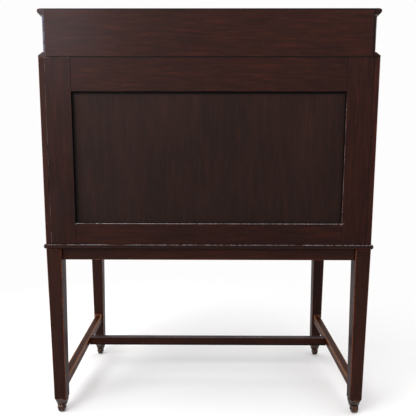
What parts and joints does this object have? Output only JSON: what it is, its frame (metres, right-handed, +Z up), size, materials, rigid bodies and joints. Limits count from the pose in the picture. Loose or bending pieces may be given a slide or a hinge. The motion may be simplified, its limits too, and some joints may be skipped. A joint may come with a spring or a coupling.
{
  "type": "writing bureau",
  "caption": "Mahogany writing bureau on a castored stand with stretchers: framed back, slanting fall over drawers, pigeonholes inside, and a low drawer box on top.",
  "frame": {"origin": "on the floor under the middle of the bureau's bounding box", "axes": "+Z up; the sitter's side with the fall and the drawer fronts faces -Y, the framed back faces +Y; +X is the sitter's right"},
  "size_m": [0.9222, 0.5681, 1.1247],
  "materials": {
    "case_mahogany": "French polished, dark red-brown, satin, rubbed at the corners",
    "panel_mahogany": "French polished, darker and flatter than the frame around it",
    "stand_mahogany": "French polished, worn to orange-brown at the arrises",
    "moulding_mahogany": "polished moulded edge with whitish rub marks",
    "inner_mahogany": "waxed, unpolished inside wood",
    "nest_mahogany": "thin polished boards",
    "oak_lining": "plain waxed oak",
    "fall_brass": "old lacquered brass",
    "patinated_brass": "dark brown patina, glossy where handled",
    "brown_china": "brown glaze, worn tread",
    "skiver_leather": "thin oxblood writing leather with a plain tooled border"
  },
  "bodies": {
    "case": {"leg_rear_left": "stand_mahogany", "leg_rear_right": "stand_mahogany", "leg_front_left": "stand_mahogany", "leg_front_right": "stand_mahogany", "apron_rear": "stand_mahogany", "apron_front": "stand_mahogany", "apron_left": "stand_mahogany", "apron_right": "stand_mahogany", "stretcher_left": "stand_mahogany", "stretcher_right": "stand_mahogany", "stretcher_cross": "stand_mahogany", "castor_plate_rear_left": "patinated_brass", "castor_plate_rear_right": "patinated_brass", "castor_plate_front_left": "patinated_brass", "castor_plate_front_right": "patinated_brass", "side_left": "case_mahogany", "side_right": "case_mahogany", "case_top": "case_mahogany", "back_stile_left": "case_mahogany", "back_stile_right": "case_mahogany", "back_rail_top": "case_mahogany", "back_rail_bottom": "case_mahogany", "box_side_left": "case_mahogany", "box_side_right": "case_mahogany", "box_back": "case_mahogany", "top_board": "case_mahogany", "box_partition": "case_mahogany", "writing_bed": "case_mahogany", "back_panel": "panel_mahogany", "base_board": "moulding_mahogany", "dust_board": "inner_mahogany", "loper_partition_left": "inner_mahogany", "loper_partition_right": "inner_mahogany", "nest_shelf": "nest_mahogany", "nest_pigeonholes": "nest_mahogany", "hinge_fixed_left": "fall_brass", "hinge_fixed_right": "fall_brass"},
    "castor_rear_left": {"castor_fork_rear_left": "patinated_brass"},
    "wheel_rear_left": {"castor_wheel_rear_left": "brown_china"},
    "castor_rear_right": {"castor_fork_rear_right": "patinated_brass"},
    "wheel_rear_right": {"castor_wheel_rear_right": "brown_china"},
    "castor_front_left": {"castor_fork_front_left": "patinated_brass"},
    "wheel_front_left": {"castor_wheel_front_left": "brown_china"},
    "castor_front_right": {"castor_fork_front_right": "patinated_brass"},
    "wheel_front_right": {"castor_wheel_front_right": "brown_china"},
    "fall": {"fall_leaf": "case_mahogany", "hinge_moving_left": "fall_brass", "hinge_moving_right": "fall_brass", "fall_lock": "fall_brass"},
    "bolt": {"fall_bolt": "fall_brass"},
    "loper_left": {"loper_left": "case_mahogany"},
    "loper_right": {"loper_right": "case_mahogany"},
    "upper_drawer": {"upper_drawer_front": "case_mahogany", "upper_drawer_box": "oak_lining"},
    "lower_drawer": {"lower_drawer_front": "case_mahogany", "lower_drawer_box": "oak_lining"},
    "top_drawer_left": {"top_drawer_left": "case_mahogany"},
    "top_drawer_right": {"top_drawer_right": "case_mahogany"},
    "nest_drawer_left": {"nest_drawer_left": "nest_mahogany"},
    "nest_drawer_right": {"nest_drawer_right": "nest_mahogany"}
  },
  "joints": [
    {"name": "castor_swivel_rear_left", "type": "hinge", "parent": "case", "child": "castor_rear_left", "pos_m": [-0.434, 0.2569, 0.034], "axis": [0, 0, 1], "continuous": true},
    {"name": "castor_spin_rear_left", "type": "hinge", "parent": "castor_rear_left", "child": "wheel_rear_left", "pos_m": [-0.434, 0.2609, 0.01275], "axis": [1, 0, 0], "continuous": true},
    {"name": "castor_swivel_rear_right", "type": "hinge", "parent": "case", "child": "castor_rear_right", "pos_m": [0.434, 0.2569, 0.034], "axis": [0, 0, 1], "continuous": true},
    {"name": "castor_spin_rear_right", "type": "hinge", "parent": "castor_rear_right", "child": "wheel_rear_right", "pos_m": [0.434, 0.2609, 0.01275], "axis": [1, 0, 0], "continuous": true},
    {"name": "castor_swivel_front_left", "type": "hinge", "parent": "case", "child": "castor_front_left", "pos_m": [-0.434, -0.2411, 0.034], "axis": [0, 0, 1], "continuous": true},
    {"name": "castor_spin_front_left", "type": "hinge", "parent": "castor_front_left", "child": "wheel_front_left", "pos_m": [-0.434, -0.2371, 0.01275], "axis": [1, 0, 0], "continuous": true},
    {"name": "castor_swivel_front_right", "type": "hinge", "parent": "case", "child": "castor_front_right", "pos_m": [0.434, -0.2411, 0.034], "axis": [0, 0, 1], "continuous": true},
    {"name": "castor_spin_front_right", "type": "hinge", "parent": "castor_front_right", "child": "wheel_front_right", "pos_m": [0.434, -0.2371, 0.01275], "axis": [1, 0, 0], "continuous": true},
    {"name": "fall_hinge", "type": "hinge", "parent": "case", "child": "fall", "pos_m": [0, -0.2621, 0.757], "axis": [1, 0, 0], "range_deg": [0, 135]},
    {"name": "bolt_slide", "type": "slide", "parent": "fall", "child": "bolt", "axis": [0, 0.7071, 0.7071], "range_m": [0, 0.005]},
    {"name": "loper_slide_left", "type": "slide", "parent": "case", "child": "loper_left", "axis": [0, -1, 0], "range_m": [0, 0.28]},
    {"name": "loper_slide_right", "type": "slide", "parent": "case", "child": "loper_right", "axis": [0, -1, 0], "range_m": [0, 0.28]},
    {"name": "upper_drawer_slide", "type": "slide", "parent": "case", "child": "upper_drawer", "axis": [0, -1, 0], "range_m": [0, 0.36]},
    {"name": "lower_drawer_slide", "type": "slide", "parent": "case", "child": "lower_drawer", "axis": [0, -1, 0], "range_m": [0, 0.36]},
    {"name": "top_drawer_left_slide", "type": "slide", "parent": "case", "child": "top_drawer_left", "axis": [0, -1, 0], "range_m": [0, 0.175]},
    {"name": "top_drawer_right_slide", "type": "slide", "parent": "case", "child": "top_drawer_right", "axis": [0, -1, 0], "range_m": [0, 0.175]},
    {"name": "nest_drawer_left_slide", "type": "slide", "parent": "case", "child": "nest_drawer_left", "axis": [0, -1, 0], "range_m": [0, 0.165]},
    {"name": "nest_drawer_right_slide", "type": "slide", "parent": "case", "child": "nest_drawer_right", "axis": [0, -1, 0], "range_m": [0, 0.165]}
  ]
}
